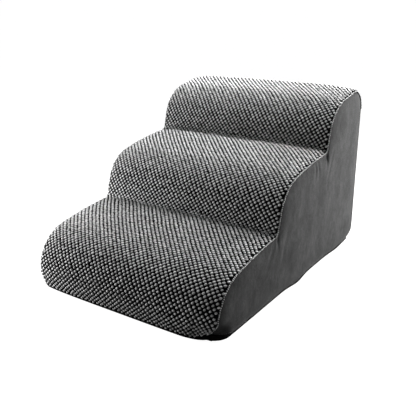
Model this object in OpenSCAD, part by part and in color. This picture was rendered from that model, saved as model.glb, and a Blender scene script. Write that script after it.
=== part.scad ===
// Foam pet stairs with three wavy, padded steps and a zipped cover that comes off for washing.
// Millimetres. The origin is under the middle of the overall box: +X points right as seen from
// the low front step, +Y runs from the front step to the tall back, and +Z is up.

/* [Overall] */
// Width across the treads
width = 400; // [340:10:600]
// Length from the front nose to the back panel
length = 558; // [540:1:575]

/* [Steps] */
// Number of steps
step_count = 3; // [3:1:3]
// Distance along Y from one step to the next
run = 198; // [196:1:202]
// Height from one step to the next
rise = 108.5; // [106:0.5:111]
// Height at which the first riser would start if it had a tread below it
first_heel_z = 27.5; // [24:0.5:34]
// Lean of the risers, in degrees from level
riser_slope = 74; // [70:1:78]
// Slope of a tread where it rolls over into the nose, in degrees
crown_front_slope = 12; // [10:1:14]
// Slope of a tread at its back, in degrees
crown_back_slope = 4; // [3:0.5:5]
// Radius of the rolled nose of each step
nose_radius = 75; // [70:1:78]
// Radius of the crease where a tread meets the next riser
crease_radius = 12; // [8:1:16]
// Radius of the top back edge
top_back_radius = 40; // [34:1:46]
// Radius of the bottom back edge
bottom_back_radius = 33; // [24:1:40]

/* [Layers] */
// Thickness of the cover's padded panels
cover_t = 4; // [3:0.5:5]
// Thickness of the non-slip base cloth
base_t = 2.2; // [1.5:0.1:3]
// Thickness of the inner liner bag
liner_t = 0.8; // [0.5:0.1:1.2]
// Thickness of the soft comfort layer under the tread fabric
comfort_t = 20; // [12:1:24]
// Slack between the loose layers
slack = 0.3; // [0.2:0.1:0.5]
// Corner radius of the base cloth, seen from above
base_corner = 26; // [10:1:40]

/* [Grip dots] */
// Diameter of a rubber dot
dot_d = 10; // [6:1:14]
// Height of a rubber dot
dot_h = 0.8; // [0.6:0.1:1.5]
// Distance between dots across the width
dot_pitch_x = 56; // [40:1:60]
// Distance between dots along the length
dot_pitch_y = 56; // [40:1:60]

/* [Zipper] */
// Length of the closed coil
coil_length = 340; // [260:5:340]
// Height of the zipper's centre line above the floor
zip_z = 62; // [58:1:90]
// Height of the slot that the back panels leave for the coil
slot_h = 13; // [12:0.5:16]
// Width of one tape
tape_w = 15; // [12:1:16]
// Thickness of a tape
tape_t = 0.6; // [0.5:0.1:0.8]
// Width of one coil row
coil_w = 2.7; // [2.4:0.1:3]
// Height of a coil row above its tape
coil_h = 2; // [1.8:0.1:2.2]
// Gap between the two coil rows, where the slider's post runs
row_gap = 1; // [0.9:0.1:1.2]
// Running clearance round the slider
run_gap = 0.3; // [0.25:0.05:0.4]
// Length of the slider
slider_l = 14; // [12:0.5:16]
// Length of the pull, from its pin to its tip
pull_l = 27; // [22:1:32]
// Width of the pull
pull_w = 6.4; // [6:0.2:8]

/* [Hidden] */
$fn = 48;

// A slope h is the direction of travel, in degrees, of a point that runs along the outline from
// the front floor edge, over the steps, to the back. An arc of radius r that turns clockwise
// passes its centre + r * away(h); a crease turns the other way and has a negative radius.
function along(h) = [cos(h), sin(h)];
function away(h) = [-sin(h), cos(h)];
function arc(centre, r, from, to, cuts) =
    [for (i = [0:cuts]) centre + r * away(from + (to - from) * i / cuts)];

// The riser's straight length and the tread's crown radius are what is left of one step after
// its nose and its crease.
step_vector = [run, rise];
nose_turn = nose_radius * (away(crown_front_slope) - away(riser_slope));
crease_turn = crease_radius * (away(crown_back_slope) - away(riser_slope));
crown_turn = away(crown_back_slope) - away(crown_front_slope);
left_over = step_vector - nose_turn - crease_turn;
riser_length = cross(left_over, crown_turn) / cross(along(riser_slope), crown_turn);
crown_radius = cross(along(riser_slope), left_over) / cross(along(riser_slope), crown_turn);

first_heel_y = nose_radius - riser_length * cos(riser_slope) - nose_radius * sin(riser_slope);
last_step = step_count - 1;
function heel(step) = [first_heel_y, first_heel_z] + step * step_vector;
function nose_centre(step) =
    heel(step) + riser_length * along(riser_slope) - nose_radius * away(riser_slope);
function crown_centre(step) =
    nose_centre(step) + (nose_radius - crown_radius) * away(crown_front_slope);
function crease_centre(step) =
    crown_centre(step) + (crown_radius + crease_radius) * away(crown_back_slope);

// The top back edge rolls off the last crown and ends upright at the back panel.
top_back_y = length - top_back_radius;
crown_to_top_back_y = top_back_y - crown_centre(last_step).x;
crown_to_top_back_z = sqrt(pow(crown_radius - top_back_radius, 2) - pow(crown_to_top_back_y, 2));
top_back_z = crown_centre(last_step).y + crown_to_top_back_z;
top_back_slope = -atan2(crown_to_top_back_y, crown_to_top_back_z);

nose_cuts = 10;
crown_cuts = 6;
crease_cuts = 4;
corner_cuts = 8;

cover_z = dot_h + base_t;
bottom_back_y = length - bottom_back_radius;
bottom_back_z = cover_z + bottom_back_radius;

liner_inset = cover_t + slack;
foam_inset = liner_inset + liner_t + slack;
core_inset = foam_inset + comfort_t;

// The zipper's own frame: x runs along the coil to the right as seen from behind, y is up,
// and z points out of the back panel, from the back face of the tapes.
tape_y = length - cover_t - tape_t;
tape_l = coil_length + 24;
slot_l = tape_l + 2;
row_in = row_gap / 2;
row_out = row_in + coil_w;
coil_top = tape_t + coil_h;
plate_t = 1.2;
flange_t = 0.8;
slider_w = 2 * (row_out + run_gap + flange_t);
post_t = row_gap - 2 * run_gap;
post_l = 5;
slider_top = coil_top + run_gap + plate_t;
bridge_l = 8;
bridge_w = 2.2;
bridge_h = 3.6;
bridge_bar = 0.9;
pin_r = 0.7;
pin_z = slider_top + (bridge_h - bridge_bar) / 2;
pull_t = 1.3;
arm_gap = 0.4;
arm_w = 1.2;
tab_start = bridge_l / 2 + 1;
stop_l = 2.6;
stop_gap = 0.2;
slider_rest = coil_length / 2 - slider_l / 2 - 1;
pocket_depth = 3;
pocket_margin = 4;

label_w = 42;
label_h = 24;
label_t = 0.5;
label_z = 150;

// The slider's bridge stands a little proud of the back panel, so the front nose starts half
// of that further forward and the overall box stays centred on the origin.
bridge_proud = slider_top + bridge_h - cover_t - tape_t;
front_y = -(length + bridge_proud) / 2;

// Upper edge of a section, from the front floor edge to the top back edge, moved in by inset.
function tread_line(inset, floor_z, end_slope) = [
    for (step = [0:last_step])
        let (
            nose_r = nose_radius - inset,
            nose_floor_slope = acos((floor_z - nose_centre(step).y) / nose_r),
            nose_from = step == 0 ? nose_floor_slope : riser_slope,
            crown_to = step == last_step ? end_slope : crown_back_slope
        )
        each concat(
            arc(nose_centre(step), nose_r, nose_from, crown_front_slope, nose_cuts),
            arc(crown_centre(step), crown_radius - inset, crown_front_slope, crown_to, crown_cuts),
            step == last_step ? []
                : arc(crease_centre(step), -crease_radius - inset,
                      crown_back_slope, riser_slope, crease_cuts)
        )
];

// Side view of the whole body, moved in by inset and cut off level at floor_z.
module section(inset, floor_z) {
    polygon(concat(
        tread_line(inset, floor_z, top_back_slope),
        arc([top_back_y, top_back_z], top_back_radius - inset, top_back_slope, -90, corner_cuts),
        arc([bottom_back_y, bottom_back_z], bottom_back_radius - inset, -90, -180, corner_cuts),
        [[bottom_back_y, floor_z]]
    ));
}

// Everything below the tread line, run on past the back and below the floor.
module under_treads(inset) {
    line = tread_line(inset, 0, crown_back_slope);
    polygon(concat(line, [[length + run, line[len(line) - 1].y], [length + run, 0]]));
}

// The cover's padded strip over the treads and down the back.
module cover_strip() {
    difference() {
        section(0, cover_z);
        section(cover_t, cover_z);
    }
}

// Side view of the back between two heights.
module back_zone(low_z, high_z) {
    translate([length - 2 * top_back_radius, low_z])
        square([2 * top_back_radius + 1, high_z - low_z]);
}

// Extrudes a side view across the given width, in place.
module across(w) {
    translate([-w / 2, front_y, 0])
        rotate([90, 0, 90])
            linear_extrude(height = w)
                children();
}

module on_zipper() {
    translate([0, front_y + tape_y, zip_z])
        rotate([90, 0, 180])
            children();
}

// Pocket behind the zipper, so that the slider's back plate clears the filling.
module zip_pocket(grow) {
    pocket_l = slot_l + 2 * (pocket_margin + grow);
    pocket_h = 2 * (tape_w + pocket_margin + grow);
    depth = pocket_depth + grow;
    translate([-pocket_l / 2, front_y + length - cover_t - depth, zip_z - pocket_h / 2])
        cube([pocket_l, depth + cover_t, pocket_h]);
}

// The body's outer form moved in by inset on every side, with the pocket kept clear of it.
module inner_form(inset) {
    difference() {
        across(width - 2 * inset)
            section(inset, cover_z + inset - cover_t);
        zip_pocket(inset - liner_inset);
    }
}

module foam_core() {
    color("khaki")
        intersection() {
            inner_form(foam_inset);
            across(width)
                under_treads(core_inset);
        }
}

module comfort_layer() {
    color("lightyellow")
        across(width - 2 * foam_inset)
            difference() {
                section(foam_inset, cover_z + foam_inset - cover_t);
                under_treads(core_inset);
            }
}

module inner_liner() {
    color("whitesmoke")
        difference() {
            inner_form(liner_inset);
            inner_form(liner_inset + liner_t);
        }
}

module tread_panel() {
    color("silver")
        across(width - 2 * cover_t)
            difference() {
                cover_strip();
                back_zone(0, top_back_z);
            }
}

module side_panel(side) {
    color("dimgray")
        translate([side * (width - cover_t) / 2, 0, 0])
            across(cover_t)
                section(0, cover_z);
}

module side_panel_left() {
    side_panel(-1);
}

module side_panel_right() {
    side_panel(1);
}

module back_panel(low_z, high_z) {
    color("dimgray")
        difference() {
            across(width - 2 * cover_t)
                intersection() {
                    cover_strip();
                    back_zone(low_z, high_z);
                }
            translate([-slot_l / 2, front_y + length - 2 * cover_t, zip_z - slot_h / 2])
                cube([slot_l, 3 * cover_t, slot_h]);
        }
}

module back_panel_upper() {
    back_panel(zip_z, top_back_z);
}

module back_panel_lower() {
    back_panel(0, zip_z);
}

// The base cloth starts where the cover's outline meets the floor at the front.
module base_panel() {
    base_front = tread_line(0, cover_z, top_back_slope)[0].x;
    base_l = bottom_back_y - base_front;
    color("black")
        translate([0, front_y + base_front + base_l / 2, dot_h])
            linear_extrude(height = base_t)
                rounded_rectangle(width, base_l, base_corner);
}

module rounded_rectangle(w, l, r) {
    for (turn = [0, 90])
        rotate(turn)
            square(turn == 0 ? [w - 2 * r, l] : [l - 2 * r, w], center = true);
    for (sx = [-1, 1], sy = [-1, 1])
        translate([sx * (w / 2 - r), sy * (l / 2 - r)])
            circle(r);
}

module grip_dots() {
    columns = floor((width / 2 - base_corner) / dot_pitch_x);
    rows = floor((length / 2 - base_corner - dot_d / 2) / dot_pitch_y);
    color("black")
        for (column = [-columns:columns], row = [-rows:rows])
            translate([column * dot_pitch_x, row * dot_pitch_y, 0])
                cylinder(h = dot_h, d = dot_d);
}

// side is 1 for the row above the centre line and -1 for the row below it.
module zipper_tape(side) {
    color("dimgray")
        on_zipper()
            translate([-tape_l / 2, side > 0 ? row_in : -row_in - tape_w, 0])
                cube([tape_l, tape_w, tape_t]);
}

module zipper_tape_upper() {
    zipper_tape(1);
}

module zipper_tape_lower() {
    zipper_tape(-1);
}

// One coil row: a strip whose long upper edges are rounded like the coil's loops.
module zipper_coil(side) {
    r = coil_w / 2;
    color("gray")
        on_zipper()
            translate([-coil_length / 2, side * (row_in + r), tape_t])
                rotate([90, 0, 90])
                    linear_extrude(height = coil_length)
                        intersection() {
                            translate([0, coil_h - r])
                                circle(r);
                            translate([-r, 0])
                                square([coil_w, coil_h]);
                        }
}

module zipper_coil_upper() {
    zipper_coil(1);
}

module zipper_coil_lower() {
    zipper_coil(-1);
}

module stop_block(x, y, w) {
    translate([x - stop_l / 2, y - w / 2, tape_t])
        cube([stop_l, w, coil_h]);
}

module zipper_top_stops() {
    color("darkgray")
        on_zipper()
            for (side = [-1, 1])
                stop_block((coil_length + stop_l) / 2 + stop_gap, side * (row_in + coil_w / 2), coil_w);
}

module zipper_bottom_stop() {
    color("darkgray")
        on_zipper()
            stop_block(-(coil_length + stop_l) / 2 - stop_gap, 0, 2 * row_out);
}

// A slider plate: straight at the tail and rounded at the mouth.
module slider_plate() {
    mouth_r = slider_w / 2;
    linear_extrude(height = plate_t) {
        translate([-slider_l / 2, -slider_w / 2])
            square([slider_l - mouth_r, slider_w]);
        intersection() {
            translate([slider_l / 2 - mouth_r, 0])
                circle(mouth_r);
            translate([slider_l / 2 - mouth_r, -mouth_r])
                square([mouth_r, slider_w]);
        }
    }
}

module slider_flange(side) {
    flange_z = tape_t + run_gap;
    flange_l = slider_l - slider_w / 2;
    flange_y = side > 0 ? slider_w / 2 - flange_t : -slider_w / 2;
    translate([-slider_l / 2, flange_y, flange_z])
        cube([flange_l, flange_t, slider_top - plate_t / 2 - flange_z]);
}

// The bridge: an arch with a window for the pull's pin.
module slider_bridge() {
    window_l = bridge_l - 4 * bridge_bar;
    window_h = bridge_h - bridge_bar;
    translate([0, bridge_w / 2, slider_top - 0.1])
        rotate([90, 0, 0])
            linear_extrude(height = bridge_w)
                difference() {
                    translate([-bridge_l / 2, 0])
                        square([bridge_l, bridge_h + 0.1]);
                    translate([-window_l / 2, 0.1])
                        square([window_l, window_h]);
                }
}

module zipper_slider() {
    color("darkgray")
        on_zipper()
            translate([slider_rest, 0, 0]) {
                translate([0, 0, -run_gap - plate_t])
                    slider_plate();
                translate([0, 0, slider_top - plate_t])
                    slider_plate();
                for (side = [-1, 1])
                    slider_flange(side);
                translate([slider_l / 2 - post_l - 1, -post_t / 2, -run_gap - plate_t / 2])
                    cube([post_l, post_t, slider_top + run_gap]);
                slider_bridge();
            }
}

// The pull lies along the closed coil. Its pin passes through the bridge's window.
module zipper_pull() {
    arm_y = bridge_w / 2 + arm_gap;
    color("darkgray")
        on_zipper()
            translate([slider_rest, 0, pin_z]) {
                rotate([90, 0, 0])
                    cylinder(h = 2 * arm_y + arm_w, r = pin_r, center = true);
                for (side = [-1, 1])
                    translate([-tab_start - 1, side > 0 ? arm_y : -arm_y - arm_w, -pull_t / 2])
                        cube([tab_start + 1 + pin_r, arm_w, pull_t]);
                pull_tab();
            }
}

module pull_tab() {
    tip_r = pull_w / 2;
    hole_d = 2.6;
    translate([0, 0, -pull_t / 2])
        linear_extrude(height = pull_t)
            difference() {
                union() {
                    translate([-pull_l + tip_r, -tip_r])
                        square([pull_l - tip_r - tab_start, pull_w]);
                    translate([-pull_l + tip_r, 0])
                        circle(tip_r);
                }
                translate([-pull_l + tip_r, 0])
                    circle(d = hole_d);
            }
}

module care_label() {
    color("white")
        translate([width / 2 - cover_t - label_w, front_y + length, label_z])
            cube([label_w, label_t, label_h]);
}

foam_core();
comfort_layer();
inner_liner();
tread_panel();
side_panel_left();
side_panel_right();
back_panel_upper();
back_panel_lower();
base_panel();
grip_dots();
zipper_tape_upper();
zipper_tape_lower();
zipper_coil_upper();
zipper_coil_lower();
zipper_top_stops();
zipper_bottom_stop();
zipper_slider();
zipper_pull();
care_label();
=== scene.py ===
"""Foam pet stairs in a knobbly plush and suede cover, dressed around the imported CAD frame.

Metres throughout, in the CAD's own frame: +X to the right seen from the low front step, +Y from
the front to the tall back, +Z up. The cover's side outline repeats the CAD's design values.
"""

import math

import bmesh
import bpy
import numpy as np
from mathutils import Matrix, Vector


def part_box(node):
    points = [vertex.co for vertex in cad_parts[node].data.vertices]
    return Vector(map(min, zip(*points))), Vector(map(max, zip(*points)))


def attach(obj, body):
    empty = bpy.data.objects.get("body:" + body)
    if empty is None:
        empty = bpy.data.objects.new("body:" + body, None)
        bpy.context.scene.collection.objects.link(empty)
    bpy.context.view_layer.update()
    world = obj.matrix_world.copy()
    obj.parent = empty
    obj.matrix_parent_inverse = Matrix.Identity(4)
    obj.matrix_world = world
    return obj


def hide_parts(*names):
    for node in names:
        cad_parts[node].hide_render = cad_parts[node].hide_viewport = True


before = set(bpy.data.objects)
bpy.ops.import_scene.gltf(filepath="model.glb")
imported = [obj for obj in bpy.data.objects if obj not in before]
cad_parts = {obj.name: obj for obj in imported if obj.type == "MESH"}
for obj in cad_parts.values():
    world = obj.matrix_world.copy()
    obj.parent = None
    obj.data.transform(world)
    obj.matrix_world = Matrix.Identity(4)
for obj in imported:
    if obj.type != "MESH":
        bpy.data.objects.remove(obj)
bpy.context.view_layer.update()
rng = np.random.default_rng(20)
MM = 0.001
BODY = "stairs"

# ---- Sizes ----

side_low, side_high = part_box("side_panel_right")
HALF_W = side_high.x
LENGTH = 558 * MM
BACK = side_high.y
FRONT = BACK - LENGTH
FLOOR = side_low.z
TOP_BACK_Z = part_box("back_panel_upper")[1].z
ZIP_Z = (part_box("zipper_coil_upper")[1].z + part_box("zipper_coil_lower")[0].z) / 2
DOT_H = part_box("grip_dots")[1].z

STEPS = 3
STEP = np.array([198, 108.5]) * MM
FIRST_HEEL_Z = 27.5 * MM
FIRST_CREASE = np.array([192.5, 136]) * MM
RISER = math.radians(74)
CROWN_FRONT = math.radians(12)
CROWN_BACK = math.radians(4)
NOSE_R = 75 * MM
CREASE_R = 12 * MM
TOP_BACK_R = 40 * MM
BOTTOM_BACK_R = 33 * MM

# ---- Side outline: a chain of arcs and lines in (y, z) ----


def along(slope):
    """Unit vector in the direction of a slope."""
    return np.array([math.cos(slope), math.sin(slope)])


def away(slope):
    """Unit vector square to a slope, outwards from the body."""
    return np.array([-math.sin(slope), math.cos(slope)])


def cross2(a, b):
    return a[0] * b[1] - a[1] * b[0]


# The riser's length and the crown's radius close each step, so that its arcs and line meet.
crown_turn = away(CROWN_BACK) - away(CROWN_FRONT)
left_over = (STEP - NOSE_R * (away(CROWN_FRONT) - away(RISER))
             - CREASE_R * (away(CROWN_BACK) - away(RISER)))
RISER_L = cross2(left_over, crown_turn) / cross2(along(RISER), crown_turn)
CROWN_R = cross2(along(RISER), left_over) / cross2(along(RISER), crown_turn)


def arc(centre, radius, start, end):
    """A stretch of the outline: a function of t from 0 to 1, and its rough length."""
    def at(t):
        slope = start + (end - start) * t
        return centre + radius * np.stack([-np.sin(slope), np.cos(slope)], -1)
    return at, abs(radius * (end - start))


def line(p, q):
    """A straight stretch, in the same form as an arc."""
    def at(t):
        return p + (q - p) * np.asarray(t)[..., None]
    return at, float(np.linalg.norm(q - p))


def outline_stretches(inset=0.0, floor=FLOOR):
    """The closed outline moved in by inset: up over the steps, down the back, along the floor."""
    front = np.array([FRONT, 0.0])
    heel_y = NOSE_R - RISER_L * math.cos(RISER) - NOSE_R * math.sin(RISER)
    stretches = []
    for step in range(STEPS):
        heel = front + np.array([heel_y, FIRST_HEEL_Z]) + step * STEP
        nose = heel + RISER_L * along(RISER) - NOSE_R * away(RISER)
        crown = nose + (NOSE_R - CROWN_R) * away(CROWN_FRONT)
        crease = crown + (CROWN_R + CREASE_R) * away(CROWN_BACK)
        if step == 0:
            start = math.acos((floor - nose[1]) / (NOSE_R - inset))
        else:
            start = RISER
            stretches.append(line(crease_end, nose + (NOSE_R - inset) * away(RISER)))
        stretches.append(arc(nose, NOSE_R - inset, start, CROWN_FRONT))
        if step < STEPS - 1:
            stretches.append(arc(crown, CROWN_R - inset, CROWN_FRONT, CROWN_BACK))
            stretches.append(arc(crease, -CREASE_R - inset, CROWN_BACK, RISER))
            crease_end = crease - (CREASE_R + inset) * away(RISER)
    over = LENGTH + FRONT - TOP_BACK_R - crown[0]
    up = math.sqrt((CROWN_R - TOP_BACK_R) ** 2 - over ** 2)
    top_slope = -math.atan2(over, up)
    top_back = crown + np.array([over, up])
    bottom_back = np.array([BACK - BOTTOM_BACK_R, FLOOR + BOTTOM_BACK_R])
    down = math.radians(-90)
    stretches.append(arc(crown, CROWN_R - inset, CROWN_FRONT, top_slope))
    stretches.append(arc(top_back, TOP_BACK_R - inset, top_slope, down))
    stretches.append(line(np.array([BACK - inset, top_back[1]]),
                          np.array([BACK - inset, bottom_back[1]])))
    stretches.append(arc(bottom_back, BOTTOM_BACK_R - inset, down, 2 * down))
    heel_end = np.array([bottom_back[0], FLOOR + inset])
    if floor < FLOOR + inset:
        stretches.append(line(heel_end, np.array([bottom_back[0], floor])))
    floor_start = stretches[0][0](np.array([0.0]))[0]
    stretches.append(line(np.array([bottom_back[0], floor]), floor_start))
    return stretches


def sampled(stretches, spacing, counts=None):
    """Points along the stretches. Equal counts make loops of different insets match up."""
    counts = counts or [max(3, math.ceil(length / spacing)) for _, length in stretches]
    points = [at(np.arange(n) / n) for (at, _), n in zip(stretches, counts)]
    return np.concatenate(points), counts


# The strip of the outline that the cover runs along: everything but the floor.
TRACK_PITCH = 1 * MM
FRONT_RISE_POINTS, BACK_RISE_POINTS = 200, 60
track_stretches = outline_stretches()[:-1]
track, _ = sampled(track_stretches, TRACK_PITCH)
track = np.vstack([track, track_stretches[-1][0](np.array([1.0]))])
track_s = np.concatenate([[0], np.cumsum(np.linalg.norm(np.diff(track, axis=0), axis=1))])
S_END = track_s[-1]

# The low ends of the track, both listed upwards from the floor.
front_rise, front_rise_s = track[:FRONT_RISE_POINTS], track_s[:FRONT_RISE_POINTS]
back_rise, back_rise_s = track[::-1][:BACK_RISE_POINTS], track_s[::-1][:BACK_RISE_POINTS]


def smoothed(values, sigma):
    """Gaussian smoothing along the track, with the ends held."""
    s = np.arange(0, S_END, TRACK_PITCH)
    v = np.interp(s, track_s, values)
    reach = int(3 * sigma / TRACK_PITCH)
    kernel = np.exp(-0.5 * (np.arange(-reach, reach + 1) * TRACK_PITCH / sigma) ** 2)
    padded = np.pad(v, reach, mode="edge")
    return np.interp(track_s, s, np.convolve(padded, kernel / kernel.sum(), mode="valid"))


def smoothstep(low, high, value):
    """Rises smoothly from 0 at low to 1 at high."""
    t = np.clip((value - low) / (high - low), 0, 1)
    return t * t * (3 - 2 * t)


# ---- Soft shape of the cover ----

# The crown over the cloth's width, and how it fades near the floor, the creases and the back.
CROWN_LIFT = 9.5 * MM
CROWN_POWER = 4.5
LOW_SHARE = 0.75
LOW_FADE = 70 * MM
CREASE_DIP = 0.3
CREASE_DIP_W = 22 * MM
BACK_FADE = (30 * MM, 40 * MM)
SLOPE_SMOOTHING = 28 * MM

# The side seams, and the roundness and unevenness of the side panels.
SEAM_TURN = 4 * MM
SEAM_SINK = 1.5 * MM
SIDE_BULGE = 4 * MM
SIDE_ROUND = 11 * MM
FOLD_FADE = 6 * MM
FOLD_LIP = 0.6
LEFT_FOLD_SHARE = 0.6
RIPPLE_H = 2.5 * MM
RIPPLE_COUNT = 9

# The base cloth's rim, the tuck above it and the rounding of the two front corners.
RIM_H = 7.0 * MM
CORNER_RISE = 8 * MM
CORNER_FADE = (12 * MM, 50 * MM)
CORNER_TAPER = (28 * MM, 70 * MM)
TUCK_H = 26 * MM
TUCK_POWER = 1.6
RIGHT_TUCK_IN = 8 * MM
LEFT_TUCK_IN = 2 * MM
FRONT_TUCK_IN = 1.0 * MM
RIGHT_CORNER = (80 * MM, 40 * MM)
LEFT_CORNER = (12 * MM, 12 * MM)

# Where the lower edge of the sides bulges: distance from the front, half width and depth in mm.
EDGE_BULGES = ((283, 22, 6.5), (480, 28, 4.0))

# Slopes along the track, and places on it: the back seam, the zipper and the creases.
tangent = np.gradient(track, axis=0)
track_slope = np.unwrap(np.arctan2(tangent[:, 1], tangent[:, 0]))
lift_slope = np.minimum(smoothed(track_slope, SLOPE_SMOOTHING), math.radians(90))
s_top_back = track_s[np.argmax((track_s > S_END / 2) & (track[:, 1] < TOP_BACK_Z + 1e-6)
                               & (track[:, 0] > BACK - 1 * MM))]
s_zip = s_top_back + TOP_BACK_Z - ZIP_Z
first_crease = np.array([FRONT, 0]) + FIRST_CREASE
crease_s = [track_s[np.argmin(np.linalg.norm(track - (first_crease + k * STEP), axis=1))]
            for k in range(STEPS - 1)]


def lift_share(s):
    """How much of the cover's crown shows at a place along the track."""
    share = LOW_SHARE + (1 - LOW_SHARE) * smoothstep(0, LOW_FADE, s)
    for crease in crease_s:
        share = share - CREASE_DIP * np.exp(-0.5 * ((s - crease) / CREASE_DIP_W) ** 2)
    return share * (1 - smoothstep(s_top_back - BACK_FADE[0], s_zip - BACK_FADE[1], s))


# Cross-section over the treads: a superellipse from the middle to the seam, by cloth length.
angle = np.linspace(math.pi / 2, 0, 4000)
section_x = HALF_W * np.cos(angle) ** (2 / CROWN_POWER)
section_x[0] = 0
section_lift = CROWN_LIFT * np.sin(angle)
section_u = np.concatenate([[0], np.cumsum(np.hypot(np.diff(section_x), np.diff(section_lift)))])
U_MAX = section_u[-1]


def corner_rounding(x, y, low, reach):
    """Rounds off one front corner in plan. The reach is how far it goes along x and along y."""
    corner_x, corner_y = HALF_W - reach[0], FRONT + reach[1]
    over_x, over_y = (np.abs(x) - corner_x) / reach[0], (corner_y - y) / reach[1]
    square = np.maximum(over_x, over_y) / np.maximum(np.hypot(over_x, over_y), 1e-9)
    inside = (over_x > 0) & (over_y > 0)
    share = np.where(inside, 1 + (square - 1) * low, 1.0)
    return (np.where(inside, np.sign(x) * (corner_x + over_x * share * reach[0]), x),
            np.where(inside, corner_y - over_y * share * reach[1], y))


def settled(p):
    """The whole soft body's give near the floor: edges tucked under, front corners rounded."""
    x, y, z = p[..., 0], p[..., 1], p[..., 2]
    low = np.clip((TUCK_H - z) / TUCK_H, 0, 1) ** TUCK_POWER
    x = x * (1 - low * np.where(x > 0, RIGHT_TUCK_IN, LEFT_TUCK_IN) / HALF_W)
    middle = (FRONT + BACK) / 2
    y = middle + (y - middle) * (1 - low * FRONT_TUCK_IN / (LENGTH / 2))
    for place, half_w, depth in EDGE_BULGES:
        bulge = np.exp(-0.5 * ((y - FRONT - place * MM) / (half_w * MM)) ** 2) * depth * MM
        x = x + np.sign(x) * low * bulge * smoothstep(0.5 * HALF_W, HALF_W, np.abs(x))
    at_corner = 1 - smoothstep(*CORNER_FADE, z)
    right = corner_rounding(x, y, at_corner, RIGHT_CORNER)
    left = corner_rounding(x, y, at_corner, LEFT_CORNER)
    return np.stack([np.where(x > 0, right[0], left[0]), np.where(x > 0, right[1], left[1]), z], -1)


def cover_point(u, s):
    """A point of the strip that runs over the steps: u across the cloth, s along the track."""
    u, s = np.broadcast_arrays(np.asarray(u, float), np.asarray(s, float))
    x = np.sign(u) * np.interp(np.abs(u), section_u, section_x)
    lift = np.interp(np.abs(u), section_u, section_lift) * lift_share(s)
    slope = np.interp(s, track_s, lift_slope)
    y = np.interp(s, track_s, track[:, 0]) - np.sin(slope) * lift
    z = np.interp(s, track_s, track[:, 1]) + np.cos(slope) * lift
    return settled(np.stack([x, y, z], -1))


def seam_allowance(s):
    """The strip's edges turned in at the side seams, as its first and last column of points."""
    slope = np.interp(s, track_s, lift_slope)
    y = np.interp(s, track_s, track[:, 0]) + np.sin(slope) * SEAM_TURN
    z = np.interp(s, track_s, track[:, 1]) - np.cos(slope) * SEAM_TURN
    x = np.full(len(s), HALF_W - SEAM_SINK)
    return [settled(np.stack([side * x, y, z], -1))[:, None] for side in (-1, 1)]


def cover_frame(u, s):
    """Position, direction across, direction along and outward normal of the cover."""
    e = 0.5 * MM
    across = cover_point(u + e, s) - cover_point(u - e, s)
    forward = cover_point(u, np.minimum(s + e, S_END)) - cover_point(u, np.maximum(s - e, 0))
    across /= np.linalg.norm(across, axis=-1, keepdims=True)
    normal = np.cross(across, forward)
    normal /= np.linalg.norm(normal, axis=-1, keepdims=True)
    return cover_point(u, s), across, np.cross(normal, across), normal


def rim_height(p):
    """Height of the base cloth's rim: low, but higher where the front right corner lifts."""
    from_side = (HALF_W - RIGHT_CORNER[0] / 3 - p[..., 0]) / CORNER_TAPER[0]
    from_front = (p[..., 1] - FRONT - RIGHT_CORNER[1] / 3) / CORNER_TAPER[1]
    far = np.maximum(from_side, 0) + np.maximum(from_front, 0)
    return RIM_H + CORNER_RISE * (1 - smoothstep(0, 1, far))


# Short folds in the suede below the creases: the crease, the place from it in y and z, half
# width, half length and depth in mm, and the lean in radians.
FOLDS = (
    (1, (-4, -17), 3.2, 11, 3.2, 0.15),
    (1, (-44, -26), 3.6, 13, 1.3, -0.1),
    (1, (-58, -33), 3.4, 12, 1.0, 0.05),
    (1, (10, -40), 5.0, 22, 1.0, 0.35),
    (0, (-3, -14), 3.4, 10, 1.8, 0.2),
    (0, (-30, -34), 5.0, 20, 0.8, 0.6),
    (0, (18, -38), 6.0, 26, 0.9, 0.4),
)


def crease_place(k):
    """A crease's place in y and z."""
    return np.array([np.interp(crease_s[k], track_s, track[:, c]) for c in (0, 1)])


def side_folds(side, y, z):
    """Depth of the folds at a place on a side panel. The left panel's folds are shallower."""
    total = np.zeros_like(y)
    for k, offset, half_w, half_l, depth, lean in FOLDS:
        centre = crease_place(k) + np.array(offset) * MM
        dy, dz = (y - centre[0]) / MM, (z - centre[1]) / MM
        run = dy * math.sin(lean) + dz * math.cos(lean)
        over = (dy * math.cos(lean) - dz * math.sin(lean)) / half_w
        fade = np.exp(-0.5 * (over ** 2 + (run / half_l) ** 2))
        total += depth * MM * (1 - FOLD_LIP * over ** 2) * fade
    return total * (1.0 if side > 0 else LEFT_FOLD_SHARE)


# The length, heading and phase of each ripple.
RIPPLES = [(rng.uniform(55, 150) * MM, rng.uniform(0, math.pi), rng.uniform(0, 2 * math.pi))
           for _ in range(RIPPLE_COUNT)]


def ripple(y, z, side):
    """A gentle unevenness of the filling under the suede."""
    total = np.zeros_like(y)
    for length, heading, phase in RIPPLES:
        distance = y * math.cos(heading) + z * math.sin(heading)
        total += np.sin(2 * math.pi * distance / length + phase + side)
    return total / len(RIPPLES)


def side_point(side, y, z, depth):
    """A point of a side panel, depth in from its seam."""
    inner = 1 - np.exp(-depth / SIDE_ROUND)
    out = HALF_W - SEAM_SINK + (SIDE_BULGE + SEAM_SINK) * inner
    out = out - side_folds(side, y, z) * smoothstep(0, FOLD_FADE, depth)
    out = out + RIPPLE_H * ripple(y, z, side) * inner
    return settled(np.stack([side * out, y, z], -1))


def low_side_point(side, share, z):
    """A point low on a side panel: share of the way from front to back, at the height z."""
    y_front = np.interp(z, front_rise[:, 1], front_rise[:, 0])
    y_back = np.interp(z, back_rise[:, 1], back_rise[:, 0])
    return side_point(side, y_front + (y_back - y_front) * share, z, z - FLOOR)


# ---- Helpers for meshes ----


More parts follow.
